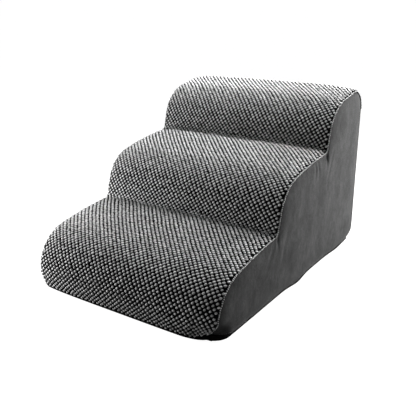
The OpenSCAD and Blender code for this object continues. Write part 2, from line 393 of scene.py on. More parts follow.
def add_piece(name, mesh, material):
    """A smooth-shaded object in the scene that rides on the stairs."""
    mesh.polygons.foreach_set("use_smooth", [True] * len(mesh.polygons))
    mesh.materials.clear()
    mesh.materials.append(material)
    piece = bpy.data.objects.new(name, mesh)
    bpy.context.scene.collection.objects.link(piece)
    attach(piece, BODY)
    return piece


def new_piece(name, verts, faces, material):
    """A piece from a list of points and a list of faces."""
    mesh = bpy.data.meshes.new(name)
    mesh.from_pydata([tuple(v) for v in np.asarray(verts, float)], [], [tuple(f) for f in faces])
    mesh.update()
    return add_piece(name, mesh, material)


def grid_faces(rows, columns):
    """Quads between the points of a grid."""
    r, c = np.meshgrid(np.arange(rows - 1), np.arange(columns - 1), indexing="ij")
    a = (r * columns + c).ravel()
    return np.stack([a, a + 1, a + columns + 1, a + columns], 1)


def tube_faces(rings, sides, first=0):
    """Quads between closed rings of points that follow one another from the index first."""
    faces = []
    for ring in range(rings - 1):
        for k in range(sides):
            a = first + ring * sides + k
            b = first + ring * sides + (k + 1) % sides
            faces.append((a, b, b + sides, a + sides))
    return faces


def thicken(obj, thickness):
    """Gives a sheet its thickness, inwards."""
    solid = obj.modifiers.new("thickness", "SOLIDIFY")
    solid.thickness = thickness
    solid.offset = -1


def bevelled(obj, width):
    """Rounds an object's sharp edges a little."""
    bevel = obj.modifiers.new("worn_edges", "BEVEL")
    bevel.width = width
    bevel.segments = 2
    bevel.limit_method = "ANGLE"


def point_attribute(obj, name, values):
    """Stores one number for each point, for a material to read."""
    layer = obj.data.attributes.new(name, "FLOAT", "POINT")
    layer.data.foreach_set("value", np.asarray(values, np.float32))


# ---- Materials ----


class Nodes:
    """A material's node tree, with short calls for the nodes that the finishes share."""

    def __init__(self, name, roughness=0.9, specular=0.3, sheen=0.0, metallic=0.0):
        self.material = bpy.data.materials.new(name)
        self.material.use_nodes = True
        self.tree = self.material.node_tree
        self.shader = self.tree.nodes["Principled BSDF"]
        self.shader.inputs["Roughness"].default_value = roughness
        self.shader.inputs["Specular IOR Level"].default_value = specular
        self.shader.inputs["Sheen Weight"].default_value = sheen
        self.shader.inputs["Sheen Roughness"].default_value = 0.45
        self.shader.inputs["Metallic"].default_value = metallic
        self.coords = self.tree.nodes.new("ShaderNodeTexCoord").outputs["Object"]
        self.relief = None

    def link(self, source, target):
        self.tree.links.new(source, target)

    def stretched(self, scale):
        mapping = self.tree.nodes.new("ShaderNodeMapping")
        mapping.inputs["Scale"].default_value = scale
        self.link(self.coords, mapping.inputs["Vector"])
        return mapping.outputs["Vector"]

    def noise(self, scale, detail=3.0, roughness=0.55, stretch=None):
        node = self.tree.nodes.new("ShaderNodeTexNoise")
        node.inputs["Scale"].default_value = scale
        node.inputs["Detail"].default_value = detail
        node.inputs["Roughness"].default_value = roughness
        self.link(self.stretched(stretch) if stretch else self.coords, node.inputs["Vector"])
        return node.outputs["Fac"]

    def wave(self, scale, direction, distortion):
        node = self.tree.nodes.new("ShaderNodeTexWave")
        node.wave_type = "BANDS"
        node.bands_direction = direction
        node.inputs["Scale"].default_value = scale
        node.inputs["Distortion"].default_value = distortion
        self.link(self.coords, node.inputs["Vector"])
        return node.outputs["Fac"]

    def cells(self, scale):
        node = self.tree.nodes.new("ShaderNodeTexVoronoi")
        node.inputs["Scale"].default_value = scale
        self.link(self.coords, node.inputs["Vector"])
        return node.outputs["Distance"]

    def attribute(self, name):
        node = self.tree.nodes.new("ShaderNodeAttribute")
        node.attribute_name = name
        return node.outputs["Fac"]

    def maths(self, operation, a, b):
        node = self.tree.nodes.new("ShaderNodeMath")
        node.operation = operation
        for socket, value in zip(node.inputs, (a, b)):
            if isinstance(value, (int, float)):
                socket.default_value = value
            else:
                self.link(value, socket)
        return node.outputs[0]

    def ramp(self, fac, *stops):
        node = self.tree.nodes.new("ShaderNodeValToRGB")
        elements = node.color_ramp.elements
        while len(elements) < len(stops):
            elements.new(0.5)
        for element, (position, colour) in zip(elements, stops):
            element.position = position
            element.color = (*colour, 1.0)
        self.link(fac, node.inputs["Fac"])
        return node.outputs["Color"]

    def mixed(self, fac, a, b, blend="MIX"):
        node = self.tree.nodes.new("ShaderNodeMix")
        node.data_type = "RGBA"
        node.blend_type = blend
        for socket, value in ((node.inputs[0], fac), (node.inputs[6], a), (node.inputs[7], b)):
            if isinstance(value, (int, float)):
                socket.default_value = value
            elif isinstance(value, tuple):
                socket.default_value = (*value, 1.0)
            else:
                self.link(value, socket)
        return node.outputs[2]

    def colour(self, source):
        self.link(source, self.shader.inputs["Base Color"])

    def roughness(self, fac, low, high):
        node = self.tree.nodes.new("ShaderNodeMapRange")
        node.inputs["To Min"].default_value = low
        node.inputs["To Max"].default_value = high
        self.link(fac, node.inputs["Value"])
        self.link(node.outputs["Result"], self.shader.inputs["Roughness"])

    def bump(self, height, distance, strength):
        node = self.tree.nodes.new("ShaderNodeBump")
        node.inputs["Distance"].default_value = distance
        node.inputs["Strength"].default_value = strength
        self.link(height, node.inputs["Height"])
        if self.relief:
            self.link(self.relief, node.inputs["Normal"])
        self.relief = node.outputs["Normal"]
        self.link(self.relief, self.shader.inputs["Normal"])


def grey(value, warmth=0.0):
    """A grey, drawn towards red by warmth."""
    return (value * (1 + warmth), value, value * (1 - warmth))


def puff_finish():
    """Pale yarn at a puff's tip, with painted shade that makes it nearly black at its root."""
    n = Nodes("plush_puffs", roughness=0.95, specular=0.08, sheen=0.05)
    tip = n.attribute("pile_height")
    mottled = n.noise(900, detail=2)
    shade = n.maths("ADD", n.maths("MULTIPLY", tip, 0.85), n.maths("MULTIPLY", mottled, 0.25))
    # Painted shade: the ramp on pile_height darkens the lower part of each puff to nearly black,
    # where shade falls between the puffs.
    root_shaded_yarn = n.ramp(shade, (0.40, grey(0.004)), (0.62, grey(0.22)), (0.88, grey(0.84)))
    patch = n.ramp(n.noise(9, detail=3), (0.3, grey(0.88)), (0.7, grey(1.0)))
    dye = n.ramp(n.attribute("puff_tone"), (0.0, grey(0.80)), (1.0, grey(1.0)))
    n.colour(n.mixed(1.0, n.mixed(1.0, root_shaded_yarn, patch, "MULTIPLY"), dye, "MULTIPLY"))
    n.bump(n.noise(2600, detail=3, roughness=0.7), 0.5 * MM, 0.6)
    return n.material


def ground_finish():
    """Fine black knit."""
    n = Nodes("plush_ground", roughness=0.95, specular=0.08, sheen=0.02)
    knit = n.cells(1400)
    n.colour(n.ramp(knit, (0.1, grey(0.003)), (0.6, grey(0.009))))
    n.bump(knit, 0.3 * MM, 0.7)
    return n.material


def suede_finish():
    """Brushed suede: a fine nap, and soft patches where the nap lies the other way."""
    n = Nodes("side_suede", roughness=0.9, specular=0.12, sheen=0.08)
    fibres = n.noise(1300, detail=4, roughness=0.7)
    grain = n.noise(330, detail=5, roughness=0.75)
    streaks = n.noise(120, detail=4, roughness=0.65, stretch=(1.0, 1.0, 0.45))
    brushed = n.noise(17, detail=4, roughness=0.6)
    shade = n.maths("ADD", n.maths("MULTIPLY", streaks, 0.45), n.maths("MULTIPLY", brushed, 0.55))
    nap = n.ramp(shade, (0.34, grey(0.024)), (0.50, grey(0.046)), (0.66, grey(0.078)))
    mottle = n.ramp(grain, (0.30, grey(0.55)), (0.50, grey(0.86)), (0.70, grey(1.15)))
    speck = n.ramp(fibres, (0.30, grey(0.70)), (0.62, grey(1.0)))
    n.colour(n.mixed(0.9, n.mixed(1.0, nap, mottle, "MULTIPLY"), speck, "MULTIPLY"))
    n.roughness(brushed, 0.80, 0.93)
    n.bump(fibres, 0.25 * MM, 0.7)
    n.bump(streaks, 0.6 * MM, 0.25)
    return n.material


def base_finish():
    """Black woven cloth."""
    n = Nodes("base_cloth", roughness=0.95, specular=0.03, sheen=0.0)
    warp = n.wave(420, "X", distortion=0.6)
    weft = n.wave(420, "Y", distortion=0.6)
    weave = n.maths("MAXIMUM", warp, weft)
    n.colour(n.ramp(weave, (0.2, grey(0.003)), (0.8, grey(0.010))))
    n.roughness(n.noise(40), 0.78, 0.92)
    n.bump(weave, 0.25 * MM, 0.8)
    return n.material


def foam_finish(name, tone, warmth, cell_scale):
    """Open-celled foam, a little yellowed."""
    n = Nodes(name, roughness=0.95, specular=0.2)
    pores = n.cells(cell_scale)
    aged = n.ramp(n.noise(14), (0.3, grey(tone * 0.9, warmth * 1.4)), (0.7, grey(tone, warmth)))
    n.colour(n.mixed(1.0, aged, n.ramp(pores, (0.05, grey(0.55)), (0.45, grey(1.0))), "MULTIPLY"))
    n.bump(pores, 0.4 * MM, 0.8)
    return n.material


def liner_finish():
    """White non-woven cloth with bonding points."""
    n = Nodes("liner_nonwoven", roughness=0.8, specular=0.25)
    points = n.cells(520)
    fibres = n.noise(300, detail=5, roughness=0.75)
    n.colour(n.ramp(fibres, (0.3, grey(0.62)), (0.7, grey(0.80))))
    n.bump(points, 0.15 * MM, 0.8)
    n.bump(fibres, 0.2 * MM, 0.4)
    return n.material


def rubber_finish():
    """Dull black rubber."""
    n = Nodes("grip_rubber", roughness=0.55, specular=0.4)
    grain = n.noise(1800, detail=2)
    n.colour(n.ramp(n.noise(60), (0.3, grey(0.012)), (0.7, grey(0.022))))
    n.roughness(grain, 0.45, 0.7)
    n.bump(grain, 0.1 * MM, 0.5)
    return n.material


def tape_finish():
    """Dark twill."""
    n = Nodes("zipper_twill", roughness=0.8, specular=0.25, sheen=0.1)
    twill = n.wave(560, "DIAGONAL", distortion=0.4)
    n.colour(n.ramp(twill, (0.2, grey(0.035)), (0.8, grey(0.075))))
    n.bump(twill, 0.15 * MM, 0.8)
    return n.material


def coil_finish():
    """Smooth dark nylon."""
    n = Nodes("coil_nylon", roughness=0.35, specular=0.5)
    n.colour(n.ramp(n.noise(200), (0.3, grey(0.045)), (0.7, grey(0.065))))
    n.roughness(n.noise(900), 0.28, 0.45)
    return n.material


def metal_finish():
    """Brushed gunmetal with worn patches."""
    n = Nodes("zipper_gunmetal", roughness=0.32, specular=0.5, metallic=1.0)
    brushed = n.noise(700, detail=4, stretch=(0.15, 1.0, 1.0))
    worn = n.noise(120, detail=4)
    n.colour(n.ramp(worn, (0.35, grey(0.20)), (0.65, grey(0.32))))
    n.roughness(brushed, 0.24, 0.46)
    n.bump(brushed, 0.03 * MM, 0.5)
    return n.material


def satin_finish():
    """Pale satin."""
    n = Nodes("label_satin", roughness=0.38, specular=0.5, sheen=0.3)
    floats = n.wave(900, "Z", distortion=0.5)
    n.colour(n.ramp(floats, (0.2, grey(0.13, 0.02)), (0.8, grey(0.18, 0.02))))
    n.bump(floats, 0.06 * MM, 0.6)
    return n.material


def thread_finish():
    """Twisted grey thread."""
    n = Nodes("sewing_thread", roughness=0.6, specular=0.35, sheen=0.1)
    twist = n.wave(900, "DIAGONAL", distortion=1.0)
    n.colour(n.ramp(twist, (0.2, grey(0.075)), (0.8, grey(0.16))))
    n.bump(twist, 0.08 * MM, 0.7)
    return n.material


PUFFS = puff_finish()
GROUND = ground_finish()
SUEDE = suede_finish()
BASE_CLOTH = base_finish()
FIRM_FOAM = foam_finish("foam_firm", 0.62, 0.22, 420)
SOFT_FOAM = foam_finish("foam_soft", 0.74, 0.10, 600)
LINER = liner_finish()
RUBBER = rubber_finish()
TAPE = tape_finish()
COIL = coil_finish()
METAL = metal_finish()
SATIN = satin_finish()
THREAD = thread_finish()

# ---- Camera, floor and light ----


CAMERA_LENS = 51.66
CAMERA_PLACE = (638.4 * MM, FRONT - 678.7 * MM, 522.0 * MM)
CAMERA_AZIMUTH = math.radians(33.88)
CAMERA_PITCH = math.radians(19.38)
CAMERA_ROLL = math.radians(0.18)

# How bright the camera sees the floor, and how much light the floor sends to the cover.
FLOOR_GLOW = 1.0
FLOOR_SHADE = 0.20
FLOOR_BOUNCE = 0.30
STUDIO_FILL = 0.02

# Softboxes: name, place, the point it faces, diameter and power in watts.
LIGHTS = (
    ("top_softbox", (0, 0.5, 0.85), (0, 0.2, 0.3), 0.6, 9.5),
    ("overhead_softbox", (-0.1, 0.55, 1.15), (0, 0.1, 0.2), 0.9, 14),
    ("high_right_softbox", (0.5, 0.9, 0.9), (0.1, 0.25, 0.3), 0.5, 6.5),
    ("back_right_softbox", (0.7, 0.8, 0.35), (0.2, 0.25, 0.1), 0.4, 15),
    ("front_left_strip", (-0.52, -0.37, 0.13), (0, -0.28, 0.08), 0.2, 4.5),
    ("left_softbox", (-0.7, -0.7, 0.25), (-0.1, -0.2, 0.1), 0.5, 1.0),
)


def make_camera():
    """A camera in front of the low step and to its right."""
    data = bpy.data.cameras.new("camera")
    data.sensor_width = 36
    data.lens = CAMERA_LENS
    camera = bpy.data.objects.new("camera", data)
    bpy.context.scene.collection.objects.link(camera)
    camera.location = CAMERA_PLACE
    camera.rotation_euler = (math.pi / 2 - CAMERA_PITCH, CAMERA_ROLL, CAMERA_AZIMUTH)
    bpy.context.scene.camera = camera


def area_light(name, location, target, size, power):
    """A round softbox that faces a point and isn't seen itself."""
    data = bpy.data.lights.new(name, "AREA")
    data.shape = "DISK"
    data.size = size
    data.energy = power
    light = bpy.data.objects.new(name, data)
    bpy.context.scene.collection.objects.link(light)
    light.location = location
    light.rotation_euler = (Vector(target) - Vector(location)).to_track_quat("-Z", "Y").to_euler()
    light.visible_camera = False


def make_floor():
    """A white floor that looks evenly lit, but sends little light back up on to the cover."""
    bpy.ops.mesh.primitive_plane_add(size=200)
    floor = bpy.context.active_object
    floor.name = "floor"
    paint = Nodes("floor_paint", roughness=0.9, specular=0.0)
    seen = paint.tree.nodes.new("ShaderNodeLightPath").outputs["Is Camera Ray"]
    grain = paint.ramp(paint.noise(3), (0.3, grey(0.97)), (0.7, grey(1.0)))
    shade = paint.mixed(seen, grey(FLOOR_BOUNCE), grey(FLOOR_SHADE))
    paint.colour(paint.mixed(1.0, shade, grain, "MULTIPLY"))
    glow = paint.mixed(seen, grey(0.0), grey(FLOOR_GLOW))
    paint.link(glow, paint.shader.inputs["Emission Color"])
    paint.shader.inputs["Emission Strength"].default_value = 1.0
    floor.data.materials.append(paint.material)


def make_world():
    """The studio round the floor: it looks white, and adds a little even light."""
    world = bpy.data.worlds.new("studio")
    bpy.context.scene.world = world
    world.use_nodes = True
    nodes, links = world.node_tree.nodes, world.node_tree.links
    path = nodes.new("ShaderNodeLightPath")
    strength = nodes.new("ShaderNodeMapRange")
    strength.inputs["To Min"].default_value = STUDIO_FILL
    strength.inputs["To Max"].default_value = 1.0
    links.new(path.outputs["Is Camera Ray"], strength.inputs["Value"])
    links.new(strength.outputs["Result"], nodes["Background"].inputs["Strength"])
    nodes["Background"].inputs["Color"].default_value = (1, 1, 1, 1)


def make_stage():
    """Floor, world and lights. None of it belongs to the object."""
    make_floor()
    make_world()
    for name, location, target, size, power in LIGHTS:
        area_light(name, location, target, size, power)
    bpy.context.scene.view_settings.view_transform = "Standard"


make_camera()
make_stage()

# ---- Tread panel ----

# The lattice of puffs. The rows are closest at a point over each nose, which lies 0.63 of the
# way from one crease to the next.
PUFF_PITCH = 9.67 * MM
HALF_COLUMNS = 40
ROW_PITCH = 4.88 * MM
NOSE_ROW_PITCH = 3.82 * MM
NOSE_PLACE = 0.63
NOSE_DENSE_BEFORE = 30 * MM
NOSE_DENSE_AFTER = 65 * MM
KNIT_LEAN = 0.22

# One puff: half its length and width, its turn in the cloth, its height, and how they vary.
PUFF_LONG = 3.2 * MM
PUFF_SHORT = 2.4 * MM
PUFF_TURN = math.radians(37)
PUFF_H = 3.2 * MM
PUFF_SIDES = 8
PUFF_RINGS = ((1.0, -0.1), (1.0, 0.35), (0.80, 0.74), (0.42, 0.96))
PUFF_DRIFT = 0.2 * MM
PUFF_ROUGH = 0.12 * MM
PUFF_ABOVE_RIM = 1.5 * MM
SEAM_PUFF_R = 1.5 * MM
SEAM_PUFF_PITCH = 3.4 * MM
GROUND_T = 2 * MM
SEAM_BAND = 12 * MM


def make_tread_ground():
    """The black knitted ground that the puffs stand on, with finer cells by its seams."""
    edge = U_MAX - SEAM_BAND
    u = np.concatenate([np.linspace(-U_MAX, -edge, 9), np.linspace(-edge, edge, 96)[1:-1],
                        np.linspace(edge, U_MAX, 9)])
    s = np.linspace(0, s_top_back, 300)
    left, right = seam_allowance(s)
    grid = np.concatenate([left, cover_point(u[None, :], s[:, None]), right], axis=1)
    faces = grid_faces(grid.shape[0], grid.shape[1])
    ground = new_piece("tread_panel_ground", grid.reshape(-1, 3), faces, GROUND)
    thicken(ground, GROUND_T)
    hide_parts("tread_panel")


def puff_template():
    """Unit directions and heights of one puff: rings of points from its root to its tip."""
    turn = np.arange(PUFF_SIDES) * 2 * math.pi / PUFF_SIDES
    rows = [np.stack([r * np.cos(turn), r * np.sin(turn), np.full(PUFF_SIDES, h)], 1)
            for r, h in PUFF_RINGS]
    points = np.vstack(rows + [np.array([[0, 0, 1.0]])])
    tip = len(points) - 1
    faces = tube_faces(len(PUFF_RINGS), PUFF_SIDES)
    last = (len(PUFF_RINGS) - 1) * PUFF_SIDES
    faces += [(last + k, last + (k + 1) % PUFF_SIDES, tip, tip) for k in range(PUFF_SIDES)]
    return points, faces


def knit_rows():
    """Where the rows of puffs lie along the track: closer over the noses, which pull them in."""
    spacing = 0.5 * MM
    s = np.arange(0, s_top_back - 2 * MM, spacing)
    step_s = crease_s[1] - crease_s[0]
    density = np.full(len(s), 1 / ROW_PITCH)
    for k in range(STEPS):
        from_nose = s - crease_s[0] - (k - NOSE_PLACE) * step_s
        spread = np.where(from_nose < 0, NOSE_DENSE_BEFORE, NOSE_DENSE_AFTER)
        density += (1 / NOSE_ROW_PITCH - 1 / ROW_PITCH) * np.exp(-0.5 * (from_nose / spread) ** 2)
    counted = np.cumsum(density) * spacing
    rows = np.arange(1, math.floor(counted[-1]))
    return np.interp(rows, counted, s)


def lattice_places(s_from, s_to):
    """Where the puffs of one band lie, as u and s. Alternate rows shift half a pitch and lean."""
    all_rows = knit_rows()
    rows = np.nonzero((all_rows >= s_from) & (all_rows < s_to))[0]
    columns = np.arange(-HALF_COLUMNS, HALF_COLUMNS + 1)
    i, j = [k.ravel() for k in np.meshgrid(columns, rows)]
    u = (i + (j % 2) / 2) * PUFF_PITCH + KNIT_LEAN * (all_rows[j] - S_END / 3)
    keep = np.abs(u) < U_MAX - 2 * SEAM_PUFF_R
    return u[keep], all_rows[j][keep]


def seam_places(s_from, s_to):
    """The small puffs that the seams squeeze into a line along the sides and the back edge."""
    s = np.arange(s_from, s_to, SEAM_PUFF_PITCH)
    edge = np.full(len(s), U_MAX - 0.8 * SEAM_PUFF_R)
    back_u = np.arange(-U_MAX, U_MAX, SEAM_PUFF_PITCH) if s_to == s_top_back else np.zeros(0)
    back_s = np.full(len(back_u), s_top_back - SEAM_PUFF_R)
    return np.concatenate([-edge, edge, back_u]), np.concatenate([s, s, back_s])


def make_puffs(name, s_from, s_to):
    """One band of puffs: slanted ovals over the panel, and small round ones at its seams."""
    lattice_u, lattice_s = lattice_places(s_from, s_to)
    seam_u, seam_s = seam_places(s_from, s_to)
    u, s = np.concatenate([lattice_u, seam_u]), np.concatenate([lattice_s, seam_s])
    at_seam = np.arange(len(u)) >= len(lattice_u)
    place = cover_point(u, s)
    keep = place[:, 2] > rim_height(place) + PUFF_ABOVE_RIM
    u, s, at_seam = u[keep], s[keep], at_seam[keep]
    count = len(u)
    u = u + rng.normal(0, PUFF_DRIFT, count)
    s = s + rng.normal(0, PUFF_DRIFT, count)
    centre, across, forward, normal = cover_frame(u, s)
    unit, template_faces = puff_template()
    size = rng.normal(1, 0.05, count)
    long = np.where(at_seam, SEAM_PUFF_R, PUFF_LONG) * size
    short = np.where(at_seam, SEAM_PUFF_R, PUFF_SHORT) * size
    height = np.where(at_seam, SEAM_PUFF_R, PUFF_H) * rng.normal(1, 0.08, count)
    lean = rng.normal(0, 0.10, (count, 2))
    along_oval = long[:, None] * (unit[None, :, 0] + unit[None, :, 2] * lean[:, :1])
    over_oval = short[:, None] * (unit[None, :, 1] + unit[None, :, 2] * lean[:, 1:])
    flat_u = along_oval * math.cos(PUFF_TURN) - over_oval * math.sin(PUFF_TURN)
    flat_s = along_oval * math.sin(PUFF_TURN) + over_oval * math.cos(PUFF_TURN)
    points = (centre[:, None] + flat_u[..., None] * across[:, None]
              + flat_s[..., None] * forward[:, None]
              + (height[:, None] * unit[None, :, 2])[..., None] * normal[:, None])
    points += rng.normal(0, PUFF_ROUGH, points.shape)
    faces = []
    base = np.array(template_faces)[None] + (np.arange(count) * len(unit))[:, None, None]
    for face in base.reshape(-1, 4):
        faces.append(face if face[2] != face[3] else face[:3])
    puffs = new_piece(name, points.reshape(-1, 3), faces, PUFFS)
    # The plush material paints shade from this height: nearly black at a puff's root, pale at its
    # tip.
    point_attribute(puffs, "pile_height", np.tile(np.clip(unit[:, 2], 0, 1), count))
    point_attribute(puffs, "puff_tone", np.repeat(rng.uniform(0, 1, count), len(unit)))


def make_tread_panel():
    """The ground and three bands of puffs, one for each step."""
    make_tread_ground()
    bands = [0.0, crease_s[0], crease_s[1], s_top_back]
    for k, name in enumerate(("lower", "middle", "upper")):
        make_puffs(f"tread_puffs_{name}", bands[k], bands[k + 1])


# ---- Side panels ----


# Rings of cells follow the seam at these distances in mm, and square cells fill the middle.
SIDE_INSETS = (0.6, 0.9, 1.6, 2.8, 4.6, 7, 10, 14, 19)
SIDE_CELL = 4 * MM
SIDE_T = 3 * MM


def flat_side():
    """The side's outline as a flat bmesh in the plane x = 0, cut into small cells."""
    bm = bmesh.new()
    loops = []
    counts = None
    for inset in SIDE_INSETS:
        stretches = outline_stretches(inset * MM, FLOOR + inset * MM)
        points, counts = sampled(stretches, SIDE_CELL, counts)
        loops.append([bm.verts.new((0, y, z)) for y, z in points])
    n = len(loops[0])
    for outer, inner in zip(loops, loops[1:]):
        for k in range(n):
            bm.faces.new((outer[k], outer[(k + 1) % n], inner[(k + 1) % n], inner[k]))
    bm.faces.new(loops[-1])
    cuts = [((0, y, 0), (0, 1, 0)) for y in np.arange(FRONT + SIDE_CELL, BACK, SIDE_CELL)]
    cuts += [((0, 0, z), (0, 0, 1)) for z in np.arange(SIDE_CELL, side_high.z, SIDE_CELL)]
    for place, direction in cuts:
        bmesh.ops.bisect_plane(bm, geom=bm.verts[:] + bm.edges[:] + bm.faces[:],
                               plane_co=place, plane_no=direction)
    bmesh.ops.triangulate(bm, faces=[f for f in bm.faces if len(f.verts) > 4])
    return bm


def distance_to_seam(flat):
    """How far each point of the flat side is from its outline."""
    outline, _ = sampled(outline_stretches(), 1.5 * MM)
    return np.concatenate([np.sqrt(((part[:, None] - outline[None]) ** 2).sum(-1)).min(1)
                           for part in np.array_split(flat, 20)])


def make_side_panel(name, side):
    """A suede side, from the flat outline: full in the middle, creased, settled on the floor."""
    bm = flat_side()
    flat = np.array([(v.co.y, v.co.z) for v in bm.verts])
    for v, place in zip(bm.verts, side_point(side, flat[:, 0], flat[:, 1], distance_to_seam(flat))):
        v.co = place
    bmesh.ops.recalc_face_normals(bm, faces=bm.faces[:])
    if bm.faces[0].normal.x * side < 0:
        bmesh.ops.reverse_faces(bm, faces=bm.faces[:])
    mesh = bpy.data.meshes.new(name)
    bm.to_mesh(mesh)
    bm.free()
    panel = add_piece(name + "_suede", mesh, SUEDE)
    thicken(panel, SIDE_T)
    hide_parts(name)


# ---- Back panels ----

SLOT_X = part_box("zipper_tape_upper")[1].x + 1 * MM
SLOT_H = 13 * MM
BACK_T = 3.8 * MM
BACK_EDGE = 0.8 * MM
BACK_CELL = 4 * MM
BACK_SEAM_BAND = 10 * MM


def across_at(x):
    """The cloth coordinate of a place that is x from the middle."""
    return np.sign(x) * np.interp(np.abs(x), section_x[1:], section_u[1:])


def make_back_panel(name, s_from, s_to, slot_from, slot_to):
    """A strip of the back with the part of the zipper's slot that it holds cut out."""
    slot_u = across_at(SLOT_X)
    edge = U_MAX - BACK_SEAM_BAND
    half = np.concatenate([np.linspace(0, slot_u, 40), np.linspace(slot_u, edge, 4)[1:],
                           np.linspace(edge, U_MAX, 8)[1:]])
    u = np.concatenate([-half[:0:-1], half])
    stops = sorted({s_from, s_to, max(slot_from, s_from), min(slot_to, s_to)})
    s = np.concatenate([np.linspace(a, b, max(3, math.ceil((b - a) / BACK_CELL)))[:-1]
                        for a, b in zip(stops, stops[1:])] + [[s_to]])
    left, right = seam_allowance(s)
    grid = np.concatenate([left, cover_point(u[None, :], s[:, None]), right], axis=1)
    columns = len(u) + 2
    faces = grid_faces(len(s), columns)
    middle_u = np.concatenate([[-U_MAX], (u[:-1] + u[1:]) / 2, [U_MAX]])
    middle_s = (s[:-1] + s[1:]) / 2
    column, row = faces[:, 0] % columns, faces[:, 0] // columns
    in_slot = ((np.abs(middle_u[column]) < slot_u) & (middle_s[row] > slot_from)
               & (middle_s[row] < slot_to))
    panel = new_piece(name + "_suede", grid.reshape(-1, 3), faces[~in_slot], SUEDE)
    thicken(panel, BACK_T)
    bevelled(panel, BACK_EDGE)
    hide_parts(name)


def make_back_panels():
    """The back above and below the zipper's middle line."""
    slot_from, slot_to = s_zip - SLOT_H / 2, s_zip + SLOT_H / 2
    make_back_panel("back_panel_upper", s_top_back, s_zip, slot_from, slot_to)
    make_back_panel("back_panel_lower", s_zip, S_END, slot_from, slot_to)


# ---- Base cloth and grip dots ----

BASE_T = 1.2 * MM

# How far each loop of the base cloth stands out from the cover: two on the underside, then the
# rim from the floor to its top.
UNDER_OUT = (-1.2 * MM, 0.6 * MM)
UNDER_RISE = 0.5 * MM
RIM_OUT = 2.8 * MM
RIM_TOP_OUT = 1.6 * MM
RIM_WAVES = 23
RIM_WAVE_H = 0.5 * MM
RIM_SHARES = (0, 0.25, 0.5, 0.75, 1)

# Points round the base: along the front, along each side and along the back.
RING_FRONT, RING_SIDE, RING_BACK = 72, 90, 60
RING_N = RING_FRONT + 2 * RING_SIDE + RING_BACK


def body_ring(z):
    """A loop round the soft cover at the heights z, one height for each point of the loop."""
    z_front, z_right, z_back, z_left = np.split(z, np.cumsum([RING_FRONT, RING_SIDE, RING_BACK]))
    s_front = np.interp(z_front, front_rise[:, 1], front_rise_s)
    front = cover_point(np.linspace(-U_MAX, U_MAX, RING_FRONT), s_front)
    s_back = np.interp(z_back, back_rise[:, 1], back_rise_s)
    back = cover_point(np.linspace(U_MAX, -U_MAX, RING_BACK), s_back)
    share = (np.arange(RING_SIDE) + 0.5) / RING_SIDE
    right = low_side_point(1, share, z_right)
    left = low_side_point(-1, 1 - share, z_left)
    return np.concatenate([front, right, back, left])


def pushed_out(ring, distance):
    """Moves a loop outwards in plan."""
    ahead = np.roll(ring, -1, axis=0) - np.roll(ring, 1, axis=0)
    out = np.stack([ahead[:, 1], -ahead[:, 0], np.zeros(len(ring))], 1)
    out /= np.linalg.norm(out, axis=1, keepdims=True)
    return ring + out * distance


def make_base_cloth():
    """Black cloth under the whole body, with a rim that rises at the front right corner."""
    footprint = body_ring(np.full(RING_N, FLOOR))
    top = rim_height(footprint)
    waves = RIM_WAVE_H * np.sin(np.arange(RING_N) * 2 * math.pi * RIM_WAVES / RING_N)
    rings = [pushed_out(footprint, out) for out in UNDER_OUT]
    rings[0][:, 2] = DOT_H
    rings[1][:, 2] = DOT_H + UNDER_RISE
    for share in RIM_SHARES:
        ring = body_ring(FLOOR + (top + waves - FLOOR) * share)
        rings.append(pushed_out(ring, RIM_OUT if share < 1 else RIM_TOP_OUT))
    verts = np.concatenate(rings)
    faces = tube_faces(len(rings), RING_N)
    faces.append(tuple(range(RING_N - 1, -1, -1)))
    base = new_piece("base_cloth", verts, faces, BASE_CLOTH)
    thicken(base, BASE_T)
    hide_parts("base_panel")


def finish_cad_node(node, material, edge):
    """A CAD node that stays: its material, and a fine bevel where its edges are worn round."""
    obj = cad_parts[node]
    obj.data.materials.clear()
    obj.data.materials.append(material)
    bevelled(obj, edge)


# ---- Filling and liner ----


VOXEL = 7 * MM
SIDE_GAP = 3 * MM
FOAM_SHRINK = 1.2 * MM
LINER_SHRINK = 0.2 * MM
LINER_T = 0.6 * MM


def remeshed(mesh):
    """A mesh rebuilt in even cells."""
    source = bpy.data.objects.new("remesh_source", mesh)
    bpy.context.scene.collection.objects.link(source)
    remesh = source.modifiers.new("remesh", "REMESH")
    remesh.mode = "VOXEL"
    remesh.voxel_size = VOXEL
    evaluated = source.evaluated_get(bpy.context.evaluated_depsgraph_get())
    result = bpy.data.meshes.new_from_object(evaluated)
    bpy.data.objects.remove(source)
    return result


def softened(node, name, material, shrink):
    """A filling piece: its CAD solid remeshed, shrunk a little, and settled like the cover."""
    mesh = remeshed(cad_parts[node].data.copy())
    co = np.empty(len(mesh.vertices) * 3)
    normal = np.empty(len(mesh.vertices) * 3)
    mesh.vertices.foreach_get("co", co)
    mesh.vertices.foreach_get("normal", normal)
    co = co.reshape(-1, 3) - normal.reshape(-1, 3) * shrink
    co[:, 2] = np.maximum(co[:, 2], FLOOR + shrink)
    mesh.vertices.foreach_set("co", settled(co * [1 - SIDE_GAP / HALF_W, 1, 1]).ravel())
    mesh.update()
    piece = add_piece(name, mesh, material)
    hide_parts(node)
    return piece


def make_filling():
    """The firm core, the soft sheet over it and the liner bag round both."""
    core = softened("foam_core", "foam_core_block", FIRM_FOAM, FOAM_SHRINK)
    comfort = softened("comfort_layer", "comfort_foam_sheet", SOFT_FOAM, FOAM_SHRINK)
    liner = softened("inner_liner", "liner_bag", LINER, LINER_SHRINK)
    thicken(liner, LINER_T)


# ---- Stitches ----

STITCH_L = 2.8 * MM
STITCH_GAP = 1.2 * MM
THREAD_R = 0.30 * MM
THREAD_SIDES = 6
HEM_ABOVE_RIM = 1.6 * MM

# One stitch, from end to end: place along it, lift and radius. Its ends dip into the cloth.
STITCH_RINGS = ((0, -0.8, 0.5), (0.12, 0.3, 1), (0.5, 0.8, 1), (0.88, 0.3, 1), (1, -0.8, 0.5))

